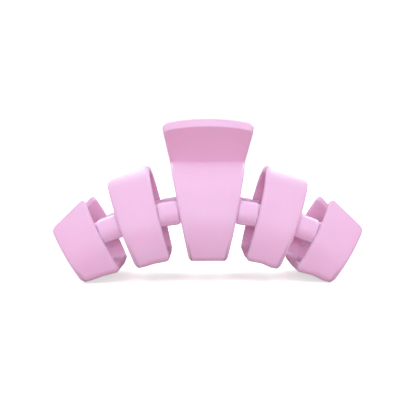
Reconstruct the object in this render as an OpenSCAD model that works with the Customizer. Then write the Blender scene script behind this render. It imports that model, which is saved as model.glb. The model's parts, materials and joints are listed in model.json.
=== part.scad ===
// Claw clip: two curved jaws with five broad fingers each, on a sprung hinge.
// X runs along the clip, the front jaw is at -Y, +Z is up.
// The origin is under the clip's middle, on the surface that it stands on.

/* [Barrel] */
// Outer radius of the barrel that the closed fingers form
barrel_r = 20; // [18:0.5:21]
// Wall thickness of every finger
wall = 2.8; // [2.4:0.1:3]
// How far the barrel's centre lies below the bar
barrel_drop = 2.6; // [2:0.1:3]
// Radius where a finger turns in to its tooth
corner_r = 3.4; // [3:0.1:5]

/* [Bar] */
// Radius of the arc that the bar follows
bar_arc_r = 95; // [90:1:110]
// Height of the bar's middle above the surface
bar_z = 24.6; // [24.5:0.1:24.9]
// Radius of the round bead between two fingers
bead_r = 4.15; // [3.6:0.05:4.4]
// Height of the web behind a bead
web_h = 7.4; // [6:0.1:8]

/* [Fingers] */
// Angle of the inner fingers along the bar's arc, degrees
inner_angle = 14.75; // [14:0.05:15]
// Angle of the outer fingers along the bar's arc, degrees
outer_angle = 27; // [26.5:0.1:28]
// Gap between each inner finger's top and the middle plane
top_gap = 2.3; // [2.1:0.1:3]
// How far a tooth reaches past the middle plane
tooth_reach = 3; // [2:0.1:3.2]
// How much lower a stepped strip hangs than the rest of its finger
tooth_step = 0.85; // [0:0.05:1]

/* [Thumb levers] */
// Slope of a lever above the horizontal, degrees
lever_slope = 42; // [40:1:46]
// Length of a lever at its middle
lever_l = 17.4; // [14:0.2:18]
// How much shorter a lever is at its corners
lever_crown = 2.3; // [2:0.1:4]

/* [Hinge] */
// Height of the hinge axis above the bar
hinge_rise = 12.4; // [12:0.1:12.8]
// Radius of the steel hinge pin
pin_r = 1; // [0.8:0.05:1.2]
// Length of the hinge pin
pin_l = 21.6; // [21.4:0.1:22]
// Radial clearance between the pin and a lug's bore
pin_play = 0.05; // [0.02:0.01:0.1]
// Outer radius of a hinge lug
lug_r = 2.7; // [2.3:0.1:2.9]
// Wire diameter of the torsion spring
wire_d = 1.3; // [1:0.1:1.4]
// Outer diameter of the spring's coil
coil_d = 7.9; // [7.8:0.1:8.1]

/* [Hidden] */

plastic = [0.95, 0.76, 0.90];
steel = [0.78, 0.78, 0.80];

// Finger outlines, seen from the front in each finger's own frame: t runs along the bar
// and away from the middle, s runs outward from the bar's arc, both from the finger's centre.
// near and far are the two side edges, each [t at s = 0, slope].
// top and bottom are [s at the near side, s at the far side].
INNER = [inner_angle, [-7.55, -0.012], [6.17, 0.093], [17.7, 15.6], [-16.4, -15.6]];
OUTER = [outer_angle, [-7, 0], [6.74, 0.045], [13.4, 8.7], [-15.2, -12.2]];
// The centre finger is symmetric, and its outline runs on into the thumb lever.
center_edge = [9.97, 0.196];
center_bottom = -17.3;

// Where a side finger's near part ends and its far part starts, as a share of its width.
inner_share = 0.6;
// Clearance left beside each tooth, as the same share.
tooth_side_gap = 0.03;
// Where the flat underneath stops, with a tooth and without one.
tooth_end = -tooth_reach;
short_end = tooth_reach + 0.6;

// Below this direction the barrel's front is flatter.
skirt_dir = -10;
skirt_r = 2 * barrel_r;
skirt_h = (barrel_r - skirt_r) * cos(skirt_dir);
skirt_s = -barrel_drop + (barrel_r - skirt_r) * sin(skirt_dir);

// Neck of the centre finger, where the barrel turns out into the lever.
neck_r = 0.4;
neck_angle = 71.5;
neck_h = (barrel_r + neck_r) * cos(neck_angle);
neck_s = -barrel_drop + (barrel_r + neck_r) * sin(neck_angle);
// The lever thickens towards its tip, on its inner face.
lever_thick = 0.8;
thick_from = 8;

hinge_z = bar_z + hinge_rise;
lug_w = 2.2;
lug_play = 0.4;
lug_inset = 5.6;
coil_r = (coil_d - wire_d) / 2;
coil_turns = 6;
coil_pitch = wire_d + 0.15;
leg_slope = lever_slope - 1.6;
leg_l = 13.8;
leg_turn = 2 * leg_slope;
bead_depth = 14.2;
bead_round = 1.1;
inner_gap = 7.8;
outer_gap = 8.1;
web_back = 13.2;
web_play = 0.3;
web_l = 13;
slab = 80;
inner_link_angle = 8;
outer_link_angle = 20.6;

arc_steps = 11;
skirt_steps = 3;
corner_steps = 6;
lever_steps = 12;
wire_sides = 8;
turn_steps = 20;

// Side edge of a finger at height s.
function edge(e, s) = e[0] + e[1] * s;

function mix(a, b, w) = a + (b - a) * w;

// A point [t, h, s] of a finger at an angle along the bar: h is the distance in front
// of the middle plane.
function place(angle, t, h, s) = [
    (bar_arc_r + s) * sin(angle) + t * cos(angle),
    -h,
    bar_z - bar_arc_r + (bar_arc_r + s) * cos(angle) - t * sin(angle)
];

// Side profile of a finger: [centre h, centre s, outer radius, direction] from the top
// round the barrel, down the flatter skirt and round the corner to the flat underneath.
function corner_dir(bottom) = asin((bottom + corner_r - skirt_s) / (skirt_r - corner_r));
function corner_h(bottom) = skirt_h + (skirt_r - corner_r) * cos(corner_dir(bottom));
function top_dir(top) =
    min(asin(min(1, (top + barrel_drop) / barrel_r)), acos(top_gap / barrel_r));
function profile(start_dir, bottom) = concat(
    [for (i = [0 : arc_steps])
        [0, -barrel_drop, barrel_r, mix(start_dir, skirt_dir, i / arc_steps)]],
    [for (i = [1 : skirt_steps])
        [skirt_h, skirt_s, skirt_r, mix(skirt_dir, corner_dir(bottom), i / skirt_steps)]],
    [for (i = [1 : corner_steps])
        [corner_h(bottom), bottom + corner_r, corner_r,
            mix(corner_dir(bottom), -90, i / corner_steps)]]
);

// A profile point pushed in by depth: [h, s].
function on_profile(p, depth) = [
    p[0] + (p[2] - depth) * cos(p[3]),
    p[1] + (p[2] - depth) * sin(p[3])
];

// One face of a finger, from its top round to the flat underneath, which stops at h = end.
function finger_profile(start_dir, bottom, end, depth) = concat(
    [for (p = profile(start_dir, bottom)) on_profile(p, depth)],
    [[end, bottom + depth]]
);

// One row of a side finger's points, put in place: row is [share of the width, drop, end].
function finger_line(f, row, depth) =
    let (
        w = row[0],
        top = mix(f[3][0], f[3][1], w),
        bottom = mix(f[4][0], f[4][1], w) - row[1]
    )
    [for (q = finger_profile(top_dir(top), bottom, row[2], depth))
        place(f[0], mix(edge(f[1], q[1]), edge(f[2], q[1]), w), q[0], q[1])];

// Neck arc of the middle finger: the wall is on the far side of the arc's centre.
function neck_line(w, from_dir, to_dir, depth) = [
    for (i = [0 : corner_steps])
        let (
            dir = mix(from_dir, to_dir, i / corner_steps),
            h = neck_h - (neck_r + depth) * cos(dir),
            s = neck_s - (neck_r + depth) * sin(dir)
        )
        place(0, w * edge(center_edge, s), h, s)
];

// One row of the middle finger's points: row is [share of the half width, end].
function center_line(row, depth) = concat(
    [for (i = [0 : corner_steps - 1]) neck_line(row[0], 0, neck_angle, depth)[i]],
    [for (q = finger_profile(neck_angle, center_bottom, row[1], depth))
        place(0, row[0] * edge(center_edge, q[1]), q[0], q[1])]
);

// On the lever, l up from the neck at share w of its half width, on its outer or inner face.
function lever_point(w, l, depth) =
    let (
        dir = lever_slope - 90,
        along = max(0, l - thick_from) / (lever_l - thick_from),
        reach = neck_r + depth + lever_thick * along * depth / wall,
        h = neck_h - reach * cos(dir) + l * cos(lever_slope),
        s = neck_s - reach * sin(dir) + l * sin(lever_slope)
    )
    place(0, w * edge(center_edge, s), h, s);

// One row of the lever's points, from its crowned tip down to its neck.
function lever_line(w, depth) = concat(
    [lever_point(w, lever_l - lever_crown * w * w, depth), lever_point(w, thick_from, depth)],
    neck_line(w, lever_slope - 90, 0, depth)
);

// A closed shell between rows of outer points and matching rows of inner points.
module shell(outer, inner) {
    rows = len(outer);
    n = len(outer[0]);
    half = rows * n;
    points = concat([for (row = outer) each row], [for (row = inner) each row]);
    outer_faces = [for (r = [0 : rows - 2], i = [0 : n - 2]) each [
        [r * n + i, r * n + i + 1, (r + 1) * n + i + 1],
        [r * n + i, (r + 1) * n + i + 1, (r + 1) * n + i]
    ]];
    inner_faces = [for (f = outer_faces) [f[0] + half, f[2] + half, f[1] + half]];
    side_faces = [for (i = [0 : n - 2]) each [
        [i, half + i, half + i + 1],
        [i, half + i + 1, i + 1],
        [half - n + i, half - n + i + 1, 2 * half - n + i + 1],
        [half - n + i, 2 * half - n + i + 1, 2 * half - n + i]
    ]];
    end_faces = [for (r = [0 : rows - 2]) each [
        [r * n, (r + 1) * n, half + (r + 1) * n],
        [r * n, half + (r + 1) * n, half + r * n],
        [(r + 1) * n - 1, half + (r + 1) * n - 1, half + (r + 2) * n - 1],
        [(r + 1) * n - 1, half + (r + 2) * n - 1, (r + 2) * n - 1]
    ]];
    polyhedron(points, concat(outer_faces, inner_faces, side_faces, end_faces), convexity = 6);
}

// A side finger. Its tooth is on the near part of its width or on the far part, and a far
// tooth hangs a step lower.
module side_finger(f, far_tooth) {
    rows = far_tooth
        ? [
            [0, 0, short_end],
            [inner_share, 0, short_end],
            [inner_share + tooth_side_gap, tooth_step, tooth_end],
            [1, tooth_step, tooth_end]
        ]
        : [
            [0, 0, tooth_end],
            [inner_share - tooth_side_gap, 0, tooth_end],
            [inner_share, 0, short_end],
            [1, 0, short_end]
        ];
    color(plastic)
        shell(
            [for (row = rows) finger_line(f, row, 0)],
            [for (row = rows) finger_line(f, row, wall)]
        );
}

module left(f, far_tooth) {
    mirror([1, 0, 0]) side_finger(f, far_tooth);
}

// Trims a small flat where the shape meets the surface that the clip stands on.
module standing() {
    difference() {
        children();
        color(plastic)
            translate([-slab, -slab / 2, -slab])
                cube([2 * slab, slab, slab]);
    }
}

// The jaw's middle finger up to its neck, with its tooth on the right half.
module center_finger() {
    rows = [
        [-1, short_end],
        [0, short_end],
        [2 * tooth_side_gap, tooth_end],
        [1, tooth_end]
    ];
    color(plastic)
        shell(
            [for (row = rows) center_line(row, 0)],
            [for (row = rows) center_line(row, wall)]
        );
}

module thumb_lever() {
    shares = [for (i = [0 : lever_steps]) mix(-1, 1, i / lever_steps)];
    color(plastic)
        shell(
            [for (w = shares) lever_line(w, 0)],
            [for (w = shares) lever_line(w, wall)]
        );
}

// Puts a shape drawn along X at an angle along the bar.
module along_bar(angle) {
    translate([bar_arc_r * sin(angle), 0, bar_z - bar_arc_r + bar_arc_r * cos(angle)])
        rotate([0, angle, 0])
            children();
}

// A round bead with rounded ends, on the X axis.
module bead(l) {
    rotate([0, 90, 0])
        rotate_extrude($fn = 48)
            union() {
                translate([0, -l / 2])
                    square([bead_r - bead_round, l]);
                translate([0, -l / 2 + bead_round])
                    square([bead_r, l - 2 * bead_round]);
                for (side = [-1, 1])
                    translate([bead_r - bead_round, side * (l / 2 - bead_round)])
                        circle(bead_round, $fn = 32);
            }
}

// The space between two finger sides, seen from the front and cut through the whole depth.
module link_space(near_low, near_high, far_high, far_low) {
    translate([0, 0.1, 0])
        rotate([90, 0, 0])
            linear_extrude(barrel_r)
                polygon([for (p = [near_low, near_high, far_high, far_low]) [p[0], p[2]]]);
}

function side_point(f, e, s) = place(f[0], edge(e, s), 0, s);
function center_point(s) = place(0, edge(center_edge, s), 0, s);

// Flat web that runs behind two fingers, with its front face curved like their inner faces.
module web(angle) {
    along_bar(angle)
        intersection() {
            translate([-web_l / 2, -barrel_r, -web_h / 2])
                cube([web_l, barrel_r - web_back, web_h]);
            translate([-web_l / 2, 0, -barrel_drop])
                rotate([0, 90, 0])
                    cylinder(r = barrel_r - wall - web_play, h = web_l, $fn = 144);
        }
}

// A bead in the space between two fingers, which it meets, on its web.
module link(angle, gap, low_left, high_left, high_right, low_right) {
    color(plastic) {
        intersection() {
            along_bar(angle)
                translate([0, -bead_depth, 0])
                    bead(gap);
            link_space(low_left, high_left, high_right, low_right);
        }
        web(angle);
    }
}

module inner_link() {
    link(
        inner_link_angle, inner_gap,
        center_point(-bead_r), center_point(bead_r),
        side_point(INNER, INNER[1], bead_r), side_point(INNER, INNER[1], -bead_r)
    );
}

module outer_link() {
    link(
        outer_link_angle, outer_gap,
        side_point(INNER, INNER[2], -bead_r), side_point(INNER, INNER[2], bead_r),
        side_point(OUTER, OUTER[1], bead_r), side_point(OUTER, OUTER[1], -bead_r)
    );
}

// Lug from x to x + lug_w: an eye round the pin and a web out to the front wall.
module hinge_lug(x) {
    color(plastic)
        translate([x, 0, 0])
            rotate([90, 0, 90])
                linear_extrude(lug_w)
                    difference() {
                        union() {
                            translate([0, hinge_z])
                                circle(lug_r, $fn = 48);
                            intersection() {
                                translate([0, bar_z - barrel_drop])
                                    circle(barrel_r - wall - 0.02, $fn = 96);
                                polygon([
                                    [0, hinge_z + lug_r - 0.2],
                                    [-8, hinge_z + lug_r - 0.2],
                                    [-13, hinge_z - 5],
                                    [0, hinge_z - lug_r + 0.2]
                                ]);
                            }
                        }
                        translate([0, hinge_z])
                            circle(pin_r + pin_play, $fn = 48);
                    }
}

// The rear jaw is the front jaw turned half a turn about the middle.
module turned() {
    rotate([0, 0, 180]) children();
}

module hinge_pin() {
    chamfer = 0.3;
    color(steel)
        translate([-pin_l / 2, 0, hinge_z])
            rotate([0, 90, 0])
                rotate_extrude($fn = 48)
                    polygon([
                        [0, 0],
                        [pin_r - chamfer, 0],
                        [pin_r, chamfer],
                        [pin_r, pin_l - chamfer],
                        [pin_r - chamfer, pin_l],
                        [0, pin_l]
                    ]);
}

// Ring of points round the spring's wire at coil angle a, moved off along the coil's tangent.
function wire_ring(x, a, off) = [
    for (k = [0 : wire_sides - 1])
        let (
            b = 360 * k / wire_sides,
            r = coil_r + wire_d / 2 * cos(b)
        )
        [
            x + wire_d / 2 * sin(b),
            r * cos(a) - off * sin(a),
            hinge_z + r * sin(a) + off * cos(a)
        ]
];

// The wire comes down the rear leg, round the coil and up the front leg.
module torsion_spring() {
    start = 90 + leg_slope;
    sweep = 360 * coil_turns - leg_turn;
    steps = turn_steps * coil_turns;
    x_end = coil_pitch * sweep / 720;
    rings = concat(
        [wire_ring(-x_end, start, -leg_l)],
        [for (i = [0 : steps])
            wire_ring(mix(-x_end, x_end, i / steps), start + sweep * i / steps, 0)],
        [wire_ring(x_end, start + sweep, leg_l)]
    );
    n = wire_sides;
    last = len(rings) - 1;
    walls = [for (r = [0 : last - 1], k = [0 : n - 1]) each [
        [r * n + k, (r + 1) * n + k, (r + 1) * n + (k + 1) % n],
        [r * n + k, (r + 1) * n + (k + 1) % n, r * n + (k + 1) % n]
    ]];
    caps = [
        [for (k = [0 : n - 1]) k],
        [for (k = [n - 1 : -1 : 0]) last * n + k]
    ];
    color(steel)
        polyhedron([for (ring = rings) each ring], concat(walls, caps), convexity = 10);
}

lug_near = lug_inset;
lug_far = -lug_inset - 2 * lug_w - lug_play;

center_finger();  // front_center_finger
thumb_lever();  // front_thumb_lever
left(INNER, false);  // front_left_inner_finger
side_finger(INNER, true);  // front_right_inner_finger
left(OUTER, false);  // front_left_outer_finger
standing() side_finger(OUTER, true);  // front_right_outer_finger
mirror([1, 0, 0]) inner_link();  // front_left_inner_link
inner_link();  // front_right_inner_link
mirror([1, 0, 0]) outer_link();  // front_left_outer_link
outer_link();  // front_right_outer_link
hinge_lug(lug_far);  // front_left_hinge_lug
hinge_lug(lug_near);  // front_right_hinge_lug
turned() center_finger();  // rear_center_finger
turned() thumb_lever();  // rear_thumb_lever
turned() side_finger(INNER, true);  // rear_left_inner_finger
turned() left(INNER, false);  // rear_right_inner_finger
turned() standing() side_finger(OUTER, true);  // rear_left_outer_finger
turned() left(OUTER, false);  // rear_right_outer_finger
turned() inner_link();  // rear_left_inner_link
turned() mirror([1, 0, 0]) inner_link();  // rear_right_inner_link
turned() outer_link();  // rear_left_outer_link
turned() mirror([1, 0, 0]) outer_link();  // rear_right_outer_link
turned() hinge_lug(lug_near);  // rear_left_hinge_lug
turned() hinge_lug(lug_far);  // rear_right_hinge_lug
hinge_pin();
torsion_spring();
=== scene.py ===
"""Claw clip: detailed moulded jaws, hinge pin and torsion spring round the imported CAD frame.

Lengths are in millimetres until a mesh is made, in the frame's own axes: X along the clip,
the front jaw at -Y, +Z up. h is the distance in front of the middle plane.
"""

import json
import math
from typing import Callable, NamedTuple

import bmesh
import bpy
from mathutils import Matrix, Vector


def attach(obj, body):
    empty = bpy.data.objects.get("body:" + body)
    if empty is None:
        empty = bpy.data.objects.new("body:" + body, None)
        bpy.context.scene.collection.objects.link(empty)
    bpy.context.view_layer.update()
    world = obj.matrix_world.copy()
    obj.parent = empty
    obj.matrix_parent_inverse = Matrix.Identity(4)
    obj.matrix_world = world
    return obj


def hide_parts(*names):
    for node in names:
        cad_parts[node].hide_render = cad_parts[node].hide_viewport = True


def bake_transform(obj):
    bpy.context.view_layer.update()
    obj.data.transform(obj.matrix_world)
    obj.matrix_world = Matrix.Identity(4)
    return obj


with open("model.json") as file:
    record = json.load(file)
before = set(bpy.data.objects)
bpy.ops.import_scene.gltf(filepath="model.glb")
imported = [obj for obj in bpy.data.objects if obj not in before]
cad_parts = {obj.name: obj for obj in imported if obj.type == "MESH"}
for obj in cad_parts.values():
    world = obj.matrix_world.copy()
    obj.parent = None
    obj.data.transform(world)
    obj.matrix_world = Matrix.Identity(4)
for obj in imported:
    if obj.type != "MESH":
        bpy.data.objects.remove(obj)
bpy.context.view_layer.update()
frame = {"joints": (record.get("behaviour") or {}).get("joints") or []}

MM = 0.001
TINY = 1e-6
FAR = 1e3

# ---------------------------------------------------------------- dimensions
# Side profile of a finger, from the barrel down to the flat underneath.
BARREL_R = 20.0
WALL = 2.8
BARREL_DROP = 2.6
SKIRT_DIR = -10.0
SKIRT_R = 2 * BARREL_R
CORNER_R = 3.4
TOP_GAP = 2.3
TOOTH_REACH = 3.0
SHORT_END = 3.6

# Steps in the lower edge, and where they and the teeth lie, as shares of a finger's width.
TOOTH_STEP = 0.85
SHORT_STEP = 0.4
STEP_FROM = 0.42
STEP_TO = 0.82
TOOTH_SHARE = 0.6
CENTER_TOOTH_SHARE = 0.5
TOOTH_SIDE_GAP = 0.03

# Centre finger and thumb lever.
CENTER_EDGE = (9.97, 0.196)
CENTER_BOTTOM = -17.3
NECK_R = 0.4
NECK_ANGLE = 71.5
LEVER_SLOPE = 42.0
LEVER_L = 17.4
LEVER_CROWN = 2.3
LEVER_THICK = 0.8
THICK_FROM = 8.0

# Bar, and the bead links along it.
BAR_ARC_R = 95.0
BEAD_R = 4.15
BEAD_DEPTH = 14.2
BEAD_ROUND = 0.9
WEB_BACK = 13.2
WEB_PLAY = 0.3
WEB_H = 7.4
WEB_L = 13.0
INNER_LINK_ANGLE = 8.0
OUTER_LINK_ANGLE = 20.6

# Hinge lugs. A lug's web spreads to its shoulder and its tip, mm forward of the pin's axis.
HINGE_RISE = 12.4
LUG_R = 2.7
LUG_W = 2.2
LUG_INSET = 5.6
LUG_PLAY = 0.4
LUG_EDGE_R = 0.3
LUG_SINK = 0.15
LUG_SHOULDER = 8.0
LUG_TIP = 13.0
LUG_TIP_DROP = 5.0
LUG_WEB_INSET = 0.2
LUG_WALL_GAP = 0.02

# Hinge pin. Its cropped end is given as mm before the end and mm in from the pin's radius.
PIN_R = 1.0
PIN_L = 21.6
PIN_PLAY = 0.05
PIN_DOME = 0.5
PIN_CROP = [(0.35, 0.0), (0.3, 0.015), (0.06, 0.24), (0.0, 0.34), (0.0, 0.7), (0.08, 0.88)]

# Torsion spring. Its cropped ends are given as mm from the end and share of the wire's radius.
# It twists between the jaws over COIL_HALF on each side of the middle.
WIRE_R = 0.65
WIRE_END = [(0.0, 0.55), (0.12, 0.9), (0.3, 1.0)]
COIL_R = 3.3
COIL_TURNS = 6
COIL_PITCH = 1.45
LEG_SLOPE = LEVER_SLOPE - 1.6
LEG_L = 13.8

# How crisply the outlines of a web and a lug turn their corners.
WEB_CRISP = 14
LUG_CRISP = 30

# Fineness of the meshes, and the angle between faces from which an edge is sharp.
SHARP_ANGLE = 40
BARREL_ROWS = 32
SKIRT_ROWS = 8
CORNER_ROWS = 12
FLAT_ROWS = 8
LEVER_ROWS = 12
NECK_ROWS = 14
TOP_NOSE_ROWS = 6
LEVER_NOSE_ROWS = 8
TOOTH_NOSE_ROWS = 4
EDGE_STEPS = 5
WEB_ROWS = 4
BEAD_ROWS = 12
LINK_SIDES = 96
MARK_SIDES = 36
LUG_SIDES = 180
LUG_EDGE_STEPS = 4
PIN_SIDES = 48
PIN_ROWS = 24
DOME_ROWS = 6
WIRE_SIDES = 16
TURN_STEPS = 48
LEG_STEPS = 10

HINGE = Vector(frame["joints"][0]["pos_m"]) / MM
BAR_Z = HINGE.z - HINGE_RISE

# Each side finger: angle along the bar, near and far side edges (t at s = 0, slope),
# and the s of its top and bottom at the near and the far side.
INNER = dict(angle=14.75, near=(-7.55, -0.012), far=(6.17, 0.093),
             top=(17.7, 15.6), bottom=(-16.4, -15.6))
OUTER = dict(angle=27.0, near=(-7.0, 0.0), far=(6.74, 0.045),
             top=(13.4, 8.7), bottom=(-15.2, -12.2))

# Rounded edges of the moulding. NOSE_SHARE of a nose's radius is rounded off at a wall's end.
NOSE_SHARE = 0.98
EDGE_R = 1.0
FOOT_EDGE_R = 1.7
INNER_EDGE_R = 0.5
NOSE_R = 0.9
TOP_CORNER_R = 1.8
TOOTH_CORNER_R = 0.6
LEVER_CORNER_R = 1.7
LEVER_NOSE_R = 0.35
LEVER_EDGE_R = 0.45

# Rings left by the ejector pins inside each side finger.
MARK_R = 1.1
MARK_WIDTH = 0.4
MARK_H = 0.16
MARK_ROOT = 0.3
MARK_DIR = -12.0
MARK_SIDE = -3.0
MARK_FOOT_H = 8.5
MARK_FOOT_SHARE = 0.3


def mix(a, b, w):
    return a + (b - a) * w


def smooth(x):
    x = min(1.0, max(0.0, x))
    return x * x * (3 - 2 * x)


def edge(e, s):
    return e[0] + e[1] * s


def place(angle, t, h, s):
    """A point of a finger at an angle along the bar: t along the bar, s outward from its arc."""
    a = math.radians(angle)
    return Vector((
        (BAR_ARC_R + s) * math.sin(a) + t * math.cos(a),
        -h,
        BAR_Z - BAR_ARC_R + (BAR_ARC_R + s) * math.cos(a) - t * math.sin(a),
    ))


# ---------------------------------------------------------------- side profile
def polar(center, radius, degrees):
    a = math.radians(degrees)
    return center[0] + radius * math.cos(a), center[1] + radius * math.sin(a)


BARREL_CENTER = (0.0, -BARREL_DROP)
SKIRT_CENTER = polar(BARREL_CENTER, BARREL_R - SKIRT_R, SKIRT_DIR)


def corner_dir(bottom):
    rise = (bottom + CORNER_R - SKIRT_CENTER[1]) / (SKIRT_R - CORNER_R)
    return math.degrees(math.asin(rise))


def corner_center(bottom):
    return polar(SKIRT_CENTER, SKIRT_R - CORNER_R, corner_dir(bottom))


def top_dir(top):
    by_height = math.degrees(math.asin(min(1.0, (top + BARREL_DROP) / BARREL_R)))
    return min(by_height, math.degrees(math.acos(TOP_GAP / BARREL_R)))


def neck_point(direction, depth):
    c = polar(BARREL_CENTER, BARREL_R + NECK_R, NECK_ANGLE)
    return polar(c, -(NECK_R + depth), direction)


class Cut(NamedTuple):
    """A finger's side profile at one place across its width."""
    side: float    # from -1 to 1 across the width
    start: float   # direction where the barrel starts, degrees
    bottom: float  # s of the face underneath
    end: float     # h where that face stops


class Row(NamedTuple):
    """A row of points across a wall; point(cut, depth) gives (h, s).

    inset narrows the row at both sides and thin takes the same off both faces, for a
    rounded end.
    """
    point: Callable
    edge_r: float
    inset: float = 0.0
    thin: float = 0.0


def lever_row(share, beyond=0.0):
    """On the lever, from its neck (share 0) to its crowned tip. It thickens towards the tip."""
    def point(cut, depth):
        length = LEVER_L - LEVER_CROWN * cut.side * cut.side - LEVER_CORNER_R
        l = length * share + beyond
        along = max(0.0, l - THICK_FROM) / (LEVER_L - THICK_FROM)
        thick = LEVER_THICK * along * along * (2 - along) * depth / WALL
        return polar(neck_point(LEVER_SLOPE - 90, depth + thick), l, LEVER_SLOPE)
    return point


def neck_row(share):
    def point(cut, depth):
        return neck_point(mix(LEVER_SLOPE - 90, NECK_ANGLE, share), depth)
    return point


def barrel_row(share, beyond=0.0):
    """On the barrel, from its start (share 0) to the skirt; beyond is mm past the start."""
    def point(cut, depth):
        first = cut.start + math.degrees(beyond / BARREL_R)
        return polar(BARREL_CENTER, BARREL_R - depth, mix(first, SKIRT_DIR, share))
    return point


def skirt_row(share):
    def point(cut, depth):
        direction = mix(SKIRT_DIR, corner_dir(cut.bottom), share)
        return polar(SKIRT_CENTER, SKIRT_R - depth, direction)
    return point


def corner_row(share):
    def point(cut, depth):
        direction = mix(corner_dir(cut.bottom), -90, share)
        return polar(corner_center(cut.bottom), CORNER_R - depth, direction)
    return point


def flat_row(share, beyond=0.0):
    """On the flat underneath, from the corner to its rounded end; beyond is mm past that."""
    def point(cut, depth):
        end = cut.end + TOOTH_CORNER_R
        return mix(corner_center(cut.bottom)[0], end, share) - beyond, cut.bottom + depth
    return point


# ---------------------------------------------------------------- mesh helpers
def new_object(name, bm):
    bmesh.ops.recalc_face_normals(bm, faces=bm.faces)
    mesh = bpy.data.meshes.new(name)
    bm.transform(Matrix.Scale(MM, 4))
    bm.to_mesh(mesh)
    bm.free()
    for p in mesh.polygons:
        p.use_smooth = True
    obj = bpy.data.objects.new(name, mesh)
    bpy.context.scene.collection.objects.link(obj)
    mesh.set_sharp_from_angle(angle=math.radians(SHARP_ANGLE))
    return obj


def add_loft(bm, loops, joined=False):
    """Loft through closed loops of points, its two ends open or joined to each other."""
    rows = [[bm.verts.new(p) for p in loop] for loop in loops]
    n = len(rows[0])
    following = rows[1:] + rows[:1] if joined else rows[1:]
    for a, b in zip(rows, following):
        for i in range(n):
            bm.faces.new((a[i], a[(i + 1) % n], b[(i + 1) % n], b[i]))
    return rows


def add_closed_loft(bm, loops):
    rows = add_loft(bm, loops)
    bm.faces.new(rows[0])
    bm.faces.new(rows[-1])


def rounded_corner(side, radius, outer_face):
    """Quarter round at one side of a wall, as (side, mm from it, depth), from the side wall in."""
    found = []
    for k in range(EDGE_STEPS + 1):
        a = math.radians(90 * k / EDGE_STEPS)
        depth = radius * (1 - math.sin(a))
        found.append((side, radius * (1 - math.cos(a)), depth if outer_face else WALL - depth))
    return found


def wall_points(columns, width, put, row):
    """Closed row of a wall's points, out along its outer face and back along the inner.

    put(row's point function, share of the width, depth) places a point.
    """
    middle = [("share", c, 0.0) for c in columns]
    under = [("share", c, WALL) for c in columns]
    top = rounded_corner("near", row.edge_r, True) + middle
    top += rounded_corner("far", row.edge_r, True)[::-1]
    low = rounded_corner("near", INNER_EDGE_R, False) + under
    low += rounded_corner("far", INNER_EDGE_R, False)[::-1]
    points = []
    for side, value, depth in top + low[::-1]:
        x = {"near": value, "far": width - value, "share": value * width}[side]
        share = (row.inset + x * (width - 2 * row.inset) / width) / width
        points.append(put(row.point, share, row.thin + depth * (WALL - 2 * row.thin) / WALL))
    return points


def add_wall(bm, columns, width, put, rows):
    """Closed wall through rows of points, its ends filled between its two faces."""
    loops = add_loft(bm, [wall_points(columns, width, put, row) for row in rows])
    n = len(loops[0])
    for end in (loops[0], loops[-1]):
        for i in range(n // 2 - 1):
            bm.faces.new((end[i], end[n - 1 - i], end[n - 2 - i], end[i + 1]))


def nose(corner_r, nose_r, steps):
    """Rows beyond a wall's end: (mm beyond, inset, thin) for a rounded edge."""
    found = []
    for k in range(1, steps + 1):
        a = math.radians(90 * k / steps)
        beyond = corner_r * math.sin(a)
        inset = corner_r * (1 - math.cos(a))
        past = beyond - (corner_r - nose_r)
        thin = nose_r - math.sqrt(max(0.0, nose_r ** 2 - past ** 2)) if past > 0 else 0.0
        found.append((beyond, inset, min(thin, nose_r * NOSE_SHARE)))
    return found


# ---------------------------------------------------------------- fingers
def lower_rows():
    """Rows down the skirt, round the corner and along the flat to its rounded end."""
    rows = []
    for k in range(1, SKIRT_ROWS + 1):
        u = k / SKIRT_ROWS
        rows.append(Row(skirt_row(u), mix(EDGE_R, FOOT_EDGE_R, smooth(u))))
    for k in range(1, CORNER_ROWS + 1):
        rows.append(Row(corner_row(k / CORNER_ROWS), FOOT_EDGE_R))
    for k in range(1, FLAT_ROWS + 1):
        u = k / FLAT_ROWS
        rows.append(Row(flat_row(u), mix(FOOT_EDGE_R, EDGE_R, u)))
    for beyond, inset, thin in nose(TOOTH_CORNER_R, TOOTH_CORNER_R, TOOTH_NOSE_ROWS):
        rows.append(Row(flat_row(1, beyond), EDGE_R, inset, thin))
    return rows


def add_mark(bm, angle, put):
    """Raised ring left by an ejector pin; put(across, along, height) gives (t, h, s) on a face."""
    half, soft = MARK_WIDTH / 2, MARK_WIDTH / 5
    outline = [(-half, -MARK_ROOT), (-half, MARK_H - soft), (soft - half, MARK_H),
               (half - soft, MARK_H), (half, MARK_H - soft), (half, -MARK_ROOT)]
    sections = []
    for k in range(MARK_SIDES):
        a = 2 * math.pi * k / MARK_SIDES
        section = []
        for out, height in outline:
            r = MARK_R + out
            section.append(place(angle, *put(r * math.cos(a), r * math.sin(a), height)))
        sections.append(section)
    add_loft(bm, sections, joined=True)


# Columns of points across a finger, as shares of its width, closest beside its tooth.
SIDE_COLUMNS = [0.12, 0.22, 0.32, 0.4, 0.45, 0.5, 0.54, 0.57, 0.585, 0.6, 0.615, 0.63, 0.66,
                0.7, 0.74, 0.78, 0.82, 0.87, 0.93]
CENTER_COLUMNS = [0.06, 0.13, 0.2, 0.27, 0.34, 0.41, 0.47, 0.49, 0.5, 0.51, 0.52, 0.53, 0.55,
                  0.6, 0.66, 0.73, 0.8, 0.87, 0.94]


def step_at(w, far_tooth):
    """(drop, end) of the flat underneath at share w of a side finger's width."""
    share = smooth((w - STEP_FROM) / (STEP_TO - STEP_FROM))
    if far_tooth:
        k = smooth((w - TOOTH_SHARE) / TOOTH_SIDE_GAP)
        return TOOTH_STEP * share, mix(SHORT_END, -TOOTH_REACH, k)
    k = smooth((w - TOOTH_SHARE + TOOTH_SIDE_GAP) / TOOTH_SIDE_GAP)
    return SHORT_STEP * share, mix(-TOOTH_REACH, SHORT_END, k)


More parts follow.
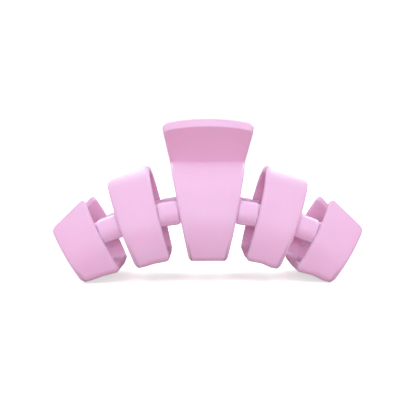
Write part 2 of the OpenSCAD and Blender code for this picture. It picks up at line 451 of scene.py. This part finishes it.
def side_finger(f, far_tooth):
    """Side finger with its tooth on the far or the near part of its width, and ejector marks."""
    bm = bmesh.new()
    width = edge(f["far"], 0) - edge(f["near"], 0)

    def put(point, w, depth):
        drop, end = step_at(w, far_tooth)
        cut = Cut(2 * w - 1, top_dir(mix(*f["top"], w)), mix(*f["bottom"], w) - drop, end)
        h, s = point(cut, depth)
        return place(f["angle"], mix(edge(f["near"], s), edge(f["far"], s), w), h, s)

    rows = []
    for beyond, inset, thin in reversed(nose(TOP_CORNER_R, NOSE_R, TOP_NOSE_ROWS)):
        rows.append(Row(barrel_row(0, beyond - TOP_CORNER_R), EDGE_R, inset, thin))
    for k in range(BARREL_ROWS + 1):
        rows.append(Row(barrel_row(k / BARREL_ROWS, -TOP_CORNER_R), EDGE_R))
    add_wall(bm, SIDE_COLUMNS, width, put, rows + lower_rows())

    middle = (f["near"][0] + f["far"][0]) / 2
    drop = step_at(MARK_FOOT_SHARE, far_tooth)[0]
    low = mix(*f["bottom"], MARK_FOOT_SHARE) - drop + WALL

    def on_skirt(across, along, height):
        r = SKIRT_R - WALL
        h, s = polar(SKIRT_CENTER, r - height, MARK_DIR + math.degrees(along / r))
        return middle + MARK_SIDE + across, h, s

    def on_foot(across, along, height):
        t = edge(f["near"], low) + MARK_FOOT_SHARE * width + across
        return t, MARK_FOOT_H + along, low + height

    add_mark(bm, f["angle"], on_skirt)
    add_mark(bm, f["angle"], on_foot)
    return bm


def center_finger():
    """Middle finger and its thumb lever, one moulded sweep."""
    bm = bmesh.new()
    width = 2 * edge(CENTER_EDGE, 0)

    def put(point, w, depth):
        side = 2 * w - 1
        k = smooth((w - CENTER_TOOTH_SHARE) / TOOTH_SIDE_GAP)
        cut = Cut(side, NECK_ANGLE, CENTER_BOTTOM, mix(SHORT_END, -TOOTH_REACH, k))
        h, s = point(cut, depth)
        return place(0, side * edge(CENTER_EDGE, s), h, s)

    rows = []
    for beyond, inset, thin in reversed(nose(LEVER_CORNER_R, LEVER_NOSE_R, LEVER_NOSE_ROWS)):
        rows.append(Row(lever_row(1, beyond), LEVER_EDGE_R, inset, thin))
    for k in range(LEVER_ROWS + 1):
        rows.append(Row(lever_row(1 - k / LEVER_ROWS), LEVER_EDGE_R))
    for k in range(1, NECK_ROWS + 1):
        u = k / NECK_ROWS
        rows.append(Row(neck_row(u), mix(LEVER_EDGE_R, EDGE_R, u)))
    for k in range(1, BARREL_ROWS + 1):
        rows.append(Row(barrel_row(k / BARREL_ROWS), EDGE_R))
    add_wall(bm, CENTER_COLUMNS, width, put, rows + lower_rows())
    return bm


# ---------------------------------------------------------------- links
def side_x(angle, p):
    """Where a point on a finger's side lies along a link's own axis."""
    o = place(angle, 0, 0, 0)
    a = math.radians(angle)
    return (p.x - o.x) * math.cos(a) - (p.z - o.z) * math.sin(a)


def web_reach(direction):
    """From a bead's axis to its web's outline, a rounded bar with a curved front, in mm."""
    c, v = math.cos(direction), math.sin(direction)
    front_r = BARREL_R - WALL - WEB_PLAY
    a, b = BEAD_DEPTH, BARREL_DROP
    half = a * c + b * v
    front = -half + math.sqrt(half * half - a * a - b * b + front_r * front_r)
    limits = [front, WEB_H / 2 / max(abs(v), TINY), (BEAD_DEPTH - WEB_BACK) / max(-c, TINY)]
    return sum(x ** -WEB_CRISP for x in limits) ** (-1 / WEB_CRISP)


def link(angle, near_side, far_side):
    """Bead with rounded ends between two fingers' sides, on a web that runs on behind them."""
    near_x, far_x = side_x(angle, near_side), side_x(angle, far_side)
    round_end = []
    for k in range(BEAD_ROWS + 1):
        a = math.radians(90 * k / BEAD_ROWS)
        round_end.append((BEAD_ROUND * (1 - math.cos(a)), BEAD_R - BEAD_ROUND * (1 - math.sin(a))))
    rows = [(mix(-WEB_L / 2, near_x, k / WEB_ROWS), 0.0) for k in range(WEB_ROWS + 1)]
    rows += [(near_x + x, r) for x, r in round_end]
    rows += [(far_x - x, r) for x, r in reversed(round_end)]
    rows += [(mix(far_x, WEB_L / 2, k / WEB_ROWS), 0.0) for k in range(WEB_ROWS + 1)]
    loops = []
    for x, bead in rows:
        loop = []
        for k in range(LINK_SIDES):
            a = 2 * math.pi * k / LINK_SIDES
            r = max(web_reach(a), bead)
            loop.append(Vector((x, -(BEAD_DEPTH + r * math.cos(a)), r * math.sin(a))))
        loops.append(loop)
    bm = bmesh.new()
    add_closed_loft(bm, loops)
    turn = Matrix.Rotation(math.radians(angle), 4, "Y")
    bm.transform(Matrix.Translation(place(angle, 0, 0, 0)) @ turn)
    return bm


def side_at_bar(f, side):
    return place(f["angle"], f[side][0], 0, 0)


def inner_link():
    center_side = place(0, CENTER_EDGE[0], 0, 0)
    return link(INNER_LINK_ANGLE, center_side, side_at_bar(INNER, "near"))


def outer_link():
    return link(OUTER_LINK_ANGLE, side_at_bar(INNER, "far"), side_at_bar(OUTER, "near"))


# ---------------------------------------------------------------- hinge
def ray_reach(direction, a, b):
    """From the origin along a direction to the line through a and b."""
    nx, ny = b[1] - a[1], a[0] - b[0]
    across = direction[0] * nx + direction[1] * ny
    away = a[0] * nx + a[1] * ny
    return away / across if abs(across) > TINY and away / across > 0 else FAR


def lug_reach(direction):
    """From the pin's axis to the lug's outline: an eye, and a web out to the jaw's front wall."""
    c, v = math.cos(direction), math.sin(direction)
    if c > TINY:
        return LUG_R
    half = LUG_R - LUG_WEB_INSET
    corners = [(0, -half), (-LUG_TIP, -LUG_TIP_DROP), (-LUG_SHOULDER, half), (0, half)]
    wall_r = BARREL_R - WALL - LUG_WALL_GAP
    rise = HINGE.z - BAR_Z + BARREL_DROP
    wall = -rise * v + math.sqrt((rise * v) ** 2 - rise * rise + wall_r * wall_r)
    limits = [wall] + [ray_reach((c, v), a, b) for a, b in zip(corners, corners[1:])]
    web = sum(x ** -LUG_CRISP for x in limits) ** (-1 / LUG_CRISP)
    return max(LUG_R, web)


def around_pin(x, r, a):
    """A point at radius r and angle a round the hinge axis."""
    return Vector((x, r * math.cos(a), HINGE.z + r * math.sin(a)))


def hinge_lug(x):
    """Lug from x to x + LUG_W, with rounded edges and a countersunk bore."""
    bm = bmesh.new()
    bore = PIN_R + PIN_PLAY
    sections = []
    for k in range(LUG_SIDES):
        a = 2 * math.pi * k / LUG_SIDES
        reach = lug_reach(a)
        section = [(bore, LUG_SINK), (bore + LUG_SINK, 0.0)]
        for j in range(LUG_EDGE_STEPS + 1):
            b = math.radians(90 * j / LUG_EDGE_STEPS)
            r = reach - LUG_EDGE_R * (1 - math.sin(b))
            section.append((r, LUG_EDGE_R * (1 - math.cos(b))))
        section += [(r, LUG_W - d) for r, d in section[::-1]]
        sections.append([around_pin(x + d, r, a) for r, d in section])
    add_loft(bm, sections, joined=True)
    return bm


def hinge_pin():
    """Drawn steel pin: one end domed by the header, the other cropped and chamfered."""
    bm = bmesh.new()
    half = PIN_L / 2
    profile = []
    for k in range(1, DOME_ROWS + 1):
        a = math.radians(90 * k / DOME_ROWS)
        profile.append((-half + PIN_DOME * (1 - math.cos(a)), PIN_R * math.sin(a)))
    for k in range(1, PIN_ROWS):
        profile.append((mix(-half + PIN_DOME, half - PIN_CROP[0][0], k / PIN_ROWS), PIN_R))
    profile += [(half - back, PIN_R - inward) for back, inward in PIN_CROP]
    turns = [2 * math.pi * k / PIN_SIDES for k in range(PIN_SIDES)]
    add_closed_loft(bm, [[around_pin(x, r, a) for a in turns] for x, r in profile])
    return bm


def torsion_spring():
    """Round wire down the rear leg, round the coil and up the front leg, with cropped ends."""
    bm = bmesh.new()
    start = 90 + LEG_SLOPE
    sweep = 360 * COIL_TURNS - 2 * LEG_SLOPE
    x_end = COIL_PITCH * sweep / 720
    steps = TURN_STEPS * COIL_TURNS
    legs = range(1, LEG_STEPS)
    # each stop: x, direction round the coil, mm off along the coil's tangent, share of WIRE_R
    path = [(-x_end, start, -LEG_L + back, size) for back, size in WIRE_END]
    path += [(-x_end, start, mix(-LEG_L, 0, k / LEG_STEPS), 1.0) for k in legs]
    for k in range(steps + 1):
        path.append((mix(-x_end, x_end, k / steps), start + sweep * k / steps, 0.0, 1.0))
    path += [(x_end, start + sweep, mix(0, LEG_L, k / LEG_STEPS), 1.0) for k in legs]
    path += [(x_end, start + sweep, LEG_L - back, size) for back, size in reversed(WIRE_END)]
    loops = []
    for x, direction, off, size in path:
        a = math.radians(direction)
        tangent = Vector((0, -off * math.sin(a), off * math.cos(a)))
        loop = []
        for k in range(WIRE_SIDES):
            b = 2 * math.pi * k / WIRE_SIDES
            r = COIL_R + WIRE_R * size * math.cos(b)
            loop.append(around_pin(x + WIRE_R * size * math.sin(b), r, a) + tangent)
        loops.append(loop)
    add_closed_loft(bm, loops)
    return bm


# ---------------------------------------------------------------- pieces
def mirrored(bm):
    bmesh.ops.scale(bm, vec=(-1, 1, 1), verts=bm.verts)
    bmesh.ops.reverse_faces(bm, faces=bm.faces)
    return bm


def turned(bm):
    bmesh.ops.rotate(bm, matrix=Matrix.Rotation(math.pi, 3, "Z"), verts=bm.verts)
    return bm


def add_piece(name, bm, body, material, nodes):
    obj = new_object(name, bm)
    obj.data.materials.append(material)
    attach(obj, body)
    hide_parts(*nodes)
    return obj


# ---------------------------------------------------------------- materials
PIGMENT = [(0.875, 0.54, 0.76, 1), (0.89, 0.56, 0.78, 1)]
PIN_GREY = [(0.496, 0.496, 0.512, 1), (0.62, 0.62, 0.64, 1)]
WIRE_GREY = [(0.44, 0.44, 0.456, 1), (0.55, 0.55, 0.57, 1)]


def set_inputs(node, values):
    for name, value in values.items():
        node.inputs[name].default_value = value


class Surface:
    """A material round one Principled shader, with textures that follow the object."""

    def __init__(self, name, settings, stretch=(1, 1, 1)):
        self.material = bpy.data.materials.new(name)
        self.material.use_nodes = True
        self.nodes = self.material.node_tree.nodes
        self.links = self.material.node_tree.links
        self.shader = self.nodes["Principled BSDF"]
        set_inputs(self.shader, settings)
        coords = self.nodes.new("ShaderNodeTexCoord")
        self.mapping = self.nodes.new("ShaderNodeMapping")
        self.mapping.inputs["Scale"].default_value = stretch
        self.links.new(coords.outputs["Object"], self.mapping.inputs["Vector"])

    def noise(self, scale, detail):
        found = self.nodes.new("ShaderNodeTexNoise")
        set_inputs(found, {"Scale": scale, "Detail": detail})
        self.links.new(self.mapping.outputs["Vector"], found.inputs["Vector"])
        return found.outputs["Fac"]

    def color(self, texture, colors, positions):
        ramp = self.nodes.new("ShaderNodeValToRGB")
        for stop, color, position in zip(ramp.color_ramp.elements, colors, positions):
            stop.position = position
            stop.color = color
        self.links.new(texture, ramp.inputs["Fac"])
        self.links.new(ramp.outputs["Color"], self.shader.inputs["Base Color"])

    def roughness(self, texture, low, high):
        spread = self.nodes.new("ShaderNodeMapRange")
        set_inputs(spread, {"To Min": low, "To Max": high})
        self.links.new(texture, spread.inputs["Value"])
        self.links.new(spread.outputs["Result"], self.shader.inputs["Roughness"])

    def bump(self, texture, strength, depth, under=None):
        """Relief of a depth in metres, over another relief if there is one."""
        relief = self.nodes.new("ShaderNodeBump")
        set_inputs(relief, {"Strength": strength, "Distance": depth})
        self.links.new(texture, relief.inputs["Height"])
        if under:
            self.links.new(under, relief.inputs["Normal"])
        self.links.new(relief.outputs["Normal"], self.shader.inputs["Normal"])
        return relief.outputs["Normal"]


def plastic_material():
    plastic = Surface("pink_plastic", {
        "Specular IOR Level": 0.4,
        "Diffuse Roughness": 1.0,
        "Subsurface Weight": 0.3,
        "Subsurface Radius": (1.0, 0.22, 0.3),
        "Subsurface Scale": 0.004,
    })
    # slow mottling of the pigment through the moulding
    plastic.color(plastic.noise(70, 3), PIGMENT, (0.3, 0.7))
    # satin finish that varies a little
    plastic.roughness(plastic.noise(240, 4), 0.42, 0.56)
    # fine mould grain over a faint flow waviness
    wave = plastic.bump(plastic.noise(160, 2), 0.25, 0.00008)
    plastic.bump(plastic.noise(5200, 2), 0.12, 0.00004, under=wave)
    return plastic.material


def steel_material(name, greys, stretch):
    """Drawn steel, with fine marks along the wire or the pin."""
    steel = Surface(name, {"Metallic": 1.0}, stretch)
    marks = steel.noise(1.0, 4)
    steel.color(marks, greys, (0.0, 1.0))
    steel.roughness(marks, 0.2, 0.42)
    steel.bump(marks, 0.2, 0.00002)
    return steel.material


PINK = plastic_material()
STEEL = steel_material("pin_steel", PIN_GREY, (300, 2500, 2500))
WIRE = steel_material("spring_wire", WIRE_GREY, (1800, 600, 600))

# ---------------------------------------------------------------- build
def build_jaw(jaw):
    """One moulding. The rear jaw is the front one turned half a turn, so its right side is
    drawn on the left.
    """
    rear = jaw == "rear"
    plain, swapped = ("left", "right") if rear else ("right", "left")

    def add(name, bm, *nodes):
        add_piece(f"{jaw}_{name}", turned(bm) if rear else bm, f"{jaw}_jaw",
                  PINK, [f"{jaw}_{node}" for node in nodes])

    add("center_finger_and_lever", center_finger(), "center_finger", "thumb_lever")
    for row, f, make_link in (("inner", INNER, inner_link), ("outer", OUTER, outer_link)):
        add(f"{plain}_{row}_finger_shell", side_finger(f, True), f"{plain}_{row}_finger")
        add(f"{swapped}_{row}_finger_shell", mirrored(side_finger(f, False)),
            f"{swapped}_{row}_finger")
        add(f"{plain}_{row}_bead_link", make_link(), f"{plain}_{row}_link")
        add(f"{swapped}_{row}_bead_link", mirrored(make_link()), f"{swapped}_{row}_link")
    add(f"{plain}_eye_lug", hinge_lug(LUG_INSET), f"{plain}_hinge_lug")
    add(f"{swapped}_eye_lug", hinge_lug(-LUG_INSET - 2 * LUG_W - LUG_PLAY),
        f"{swapped}_hinge_lug")


build_jaw("front")
build_jaw("rear")
add_piece("headed_hinge_pin", hinge_pin(), "front_jaw", STEEL, ["hinge_pin"])
spring = new_object("wound_torsion_spring", torsion_spring())
spring.data.materials.append(WIRE)
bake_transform(spring)
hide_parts("torsion_spring")

# ---------------------------------------------------------------- stage
FLOOR_SIZE = 3.0
MATTE = {"Roughness": 0.8, "Specular IOR Level": 0.0}
# The floor as the camera sees it, glowing more with the distance from the clip in metres: the
# dimmer glow near the clip is painted shade round it.
FLOOR_WHITE = (0.8, 0.8, 0.8, 1)
FLOOR_GLOW_WITH_PAINTED_SHADE = (0.62, 1.02)
PAINTED_SHADE_REACH = (0.07, 0.3)
# The light that comes off the floor and off the surroundings.
BOUNCE = (0.44, 0.15, 0.19, 1)
AMBIENT = (1.0, 0.15, 0.27, 1)
AMBIENT_STRENGTH = 0.26
BACKDROP_STRENGTH = 1.05


def seen_and_unseen(tree, seen, unseen, output):
    """Shows one shader to the camera and lights the scene with the other."""
    path = tree.nodes.new("ShaderNodeLightPath")
    choose = tree.nodes.new("ShaderNodeMixShader")
    tree.links.new(path.outputs["Is Camera Ray"], choose.inputs["Fac"])
    tree.links.new(unseen, choose.inputs[1])
    tree.links.new(seen, choose.inputs[2])
    tree.links.new(choose.outputs["Shader"], tree.nodes[output].inputs["Surface"])


def floor_material():
    """The camera sees the floor bleached as in a product photograph, with a faint soft shadow cast
    by the lights, deepened by painted shade where the glow drops near the clip.
    """
    mat = bpy.data.materials.new("floor_white")
    mat.use_nodes = True
    tree = mat.node_tree
    bounce = tree.nodes["Principled BSDF"]
    set_inputs(bounce, {"Base Color": BOUNCE, **MATTE})
    bleached = tree.nodes.new("ShaderNodeBsdfPrincipled")
    set_inputs(bleached, {"Base Color": FLOOR_WHITE, "Emission Color": (1, 1, 1, 1), **MATTE})
    coords = tree.nodes.new("ShaderNodeTexCoord")
    reach = tree.nodes.new("ShaderNodeVectorMath")
    reach.operation = "LENGTH"
    tree.links.new(coords.outputs["Object"], reach.inputs[0])
    # painted shade: the floor's glow drops towards the clip, darkening the floor round it
    painted_shade_fade = tree.nodes.new("ShaderNodeMapRange")
    set_inputs(painted_shade_fade, {"From Min": PAINTED_SHADE_REACH[0], "From Max": PAINTED_SHADE_REACH[1],
                      "To Min": FLOOR_GLOW_WITH_PAINTED_SHADE[0], "To Max": FLOOR_GLOW_WITH_PAINTED_SHADE[1]})
    tree.links.new(reach.outputs["Value"], painted_shade_fade.inputs["Value"])
    tree.links.new(painted_shade_fade.outputs["Result"], bleached.inputs["Emission Strength"])
    seen_and_unseen(tree, bleached.outputs["BSDF"], bounce.outputs["BSDF"], "Material Output")
    return mat


floor_mesh = bmesh.new()
bmesh.ops.create_grid(floor_mesh, x_segments=1, y_segments=1, size=FLOOR_SIZE / MM)
floor = new_object("floor", floor_mesh)
floor.data.materials.append(floor_material())

# A white backdrop, off which little light comes.
world = bpy.data.worlds.new("studio")
bpy.context.scene.world = world
world.use_nodes = True
ambient = world.node_tree.nodes["Background"]
set_inputs(ambient, {"Color": AMBIENT, "Strength": AMBIENT_STRENGTH})
backdrop = world.node_tree.nodes.new("ShaderNodeBackground")
set_inputs(backdrop, {"Color": (1, 1, 1, 1), "Strength": BACKDROP_STRENGTH})
seen_and_unseen(world.node_tree, backdrop.outputs["Background"],
                ambient.outputs["Background"], "World Output")

MIDDLE = Vector((0, 0, BAR_Z * MM))
SOFTBOX_SIZE = 0.45
SOFTBOX_DISTANCE = 0.9
SOFTBOX_COLOR = (0.71, 1.0, 0.98)


def softbox(name, azimuth, elevation, power):
    """Round softbox aimed at the clip; azimuth 0 is the camera's side, and right is positive."""
    a, e = math.radians(azimuth), math.radians(elevation)
    toward = Vector((math.sin(a) * math.cos(e), -math.cos(a) * math.cos(e), math.sin(e)))
    data = bpy.data.lights.new(name, "AREA")
    data.shape = "DISK"
    data.size = SOFTBOX_SIZE
    data.energy = power
    data.color = SOFTBOX_COLOR
    lamp = bpy.data.objects.new(name, data)
    lamp.location = MIDDLE + toward * SOFTBOX_DISTANCE
    lamp.rotation_mode = "QUATERNION"
    lamp.rotation_quaternion = (-toward).to_track_quat("-Z", "Y")
    bpy.context.scene.collection.objects.link(lamp)


softbox("key_left", -30, 42, 2.1)
softbox("key_right", 30, 42, 1.6)
softbox("low_fill", 0, 4, 6.4)
softbox("top", 0, 70, 1.2)
softbox("back_left", -150, 32, 4.9)
softbox("back_right", 150, 32, 4.9)

# ---------------------------------------------------------------- camera
CAMERA_DISTANCE = 0.256
CAMERA_SIDE = 0.00025
CAMERA_PITCH = math.radians(4.0)
CAMERA_YAW = math.radians(1.2)
CAMERA_CLIP = 0.01
SENSOR = 36
FOCAL_SHARE = 1.697
camera_data = bpy.data.cameras.new("camera")
camera_data.sensor_width = SENSOR
camera_data.lens = SENSOR * FOCAL_SHARE
camera_data.clip_start = CAMERA_CLIP
camera = bpy.data.objects.new("camera", camera_data)
back = Vector((
    -math.sin(CAMERA_YAW) * math.cos(CAMERA_PITCH),
    -math.cos(CAMERA_YAW) * math.cos(CAMERA_PITCH),
    math.sin(CAMERA_PITCH),
))
camera.location = MIDDLE + Vector((CAMERA_SIDE, 0, 0)) + back * CAMERA_DISTANCE
camera.rotation_mode = "QUATERNION"
camera.rotation_quaternion = (-back).to_track_quat("-Z", "Y")
bpy.context.scene.collection.objects.link(camera)
bpy.context.scene.camera = camera
bpy.context.scene.view_settings.view_transform = "Standard"
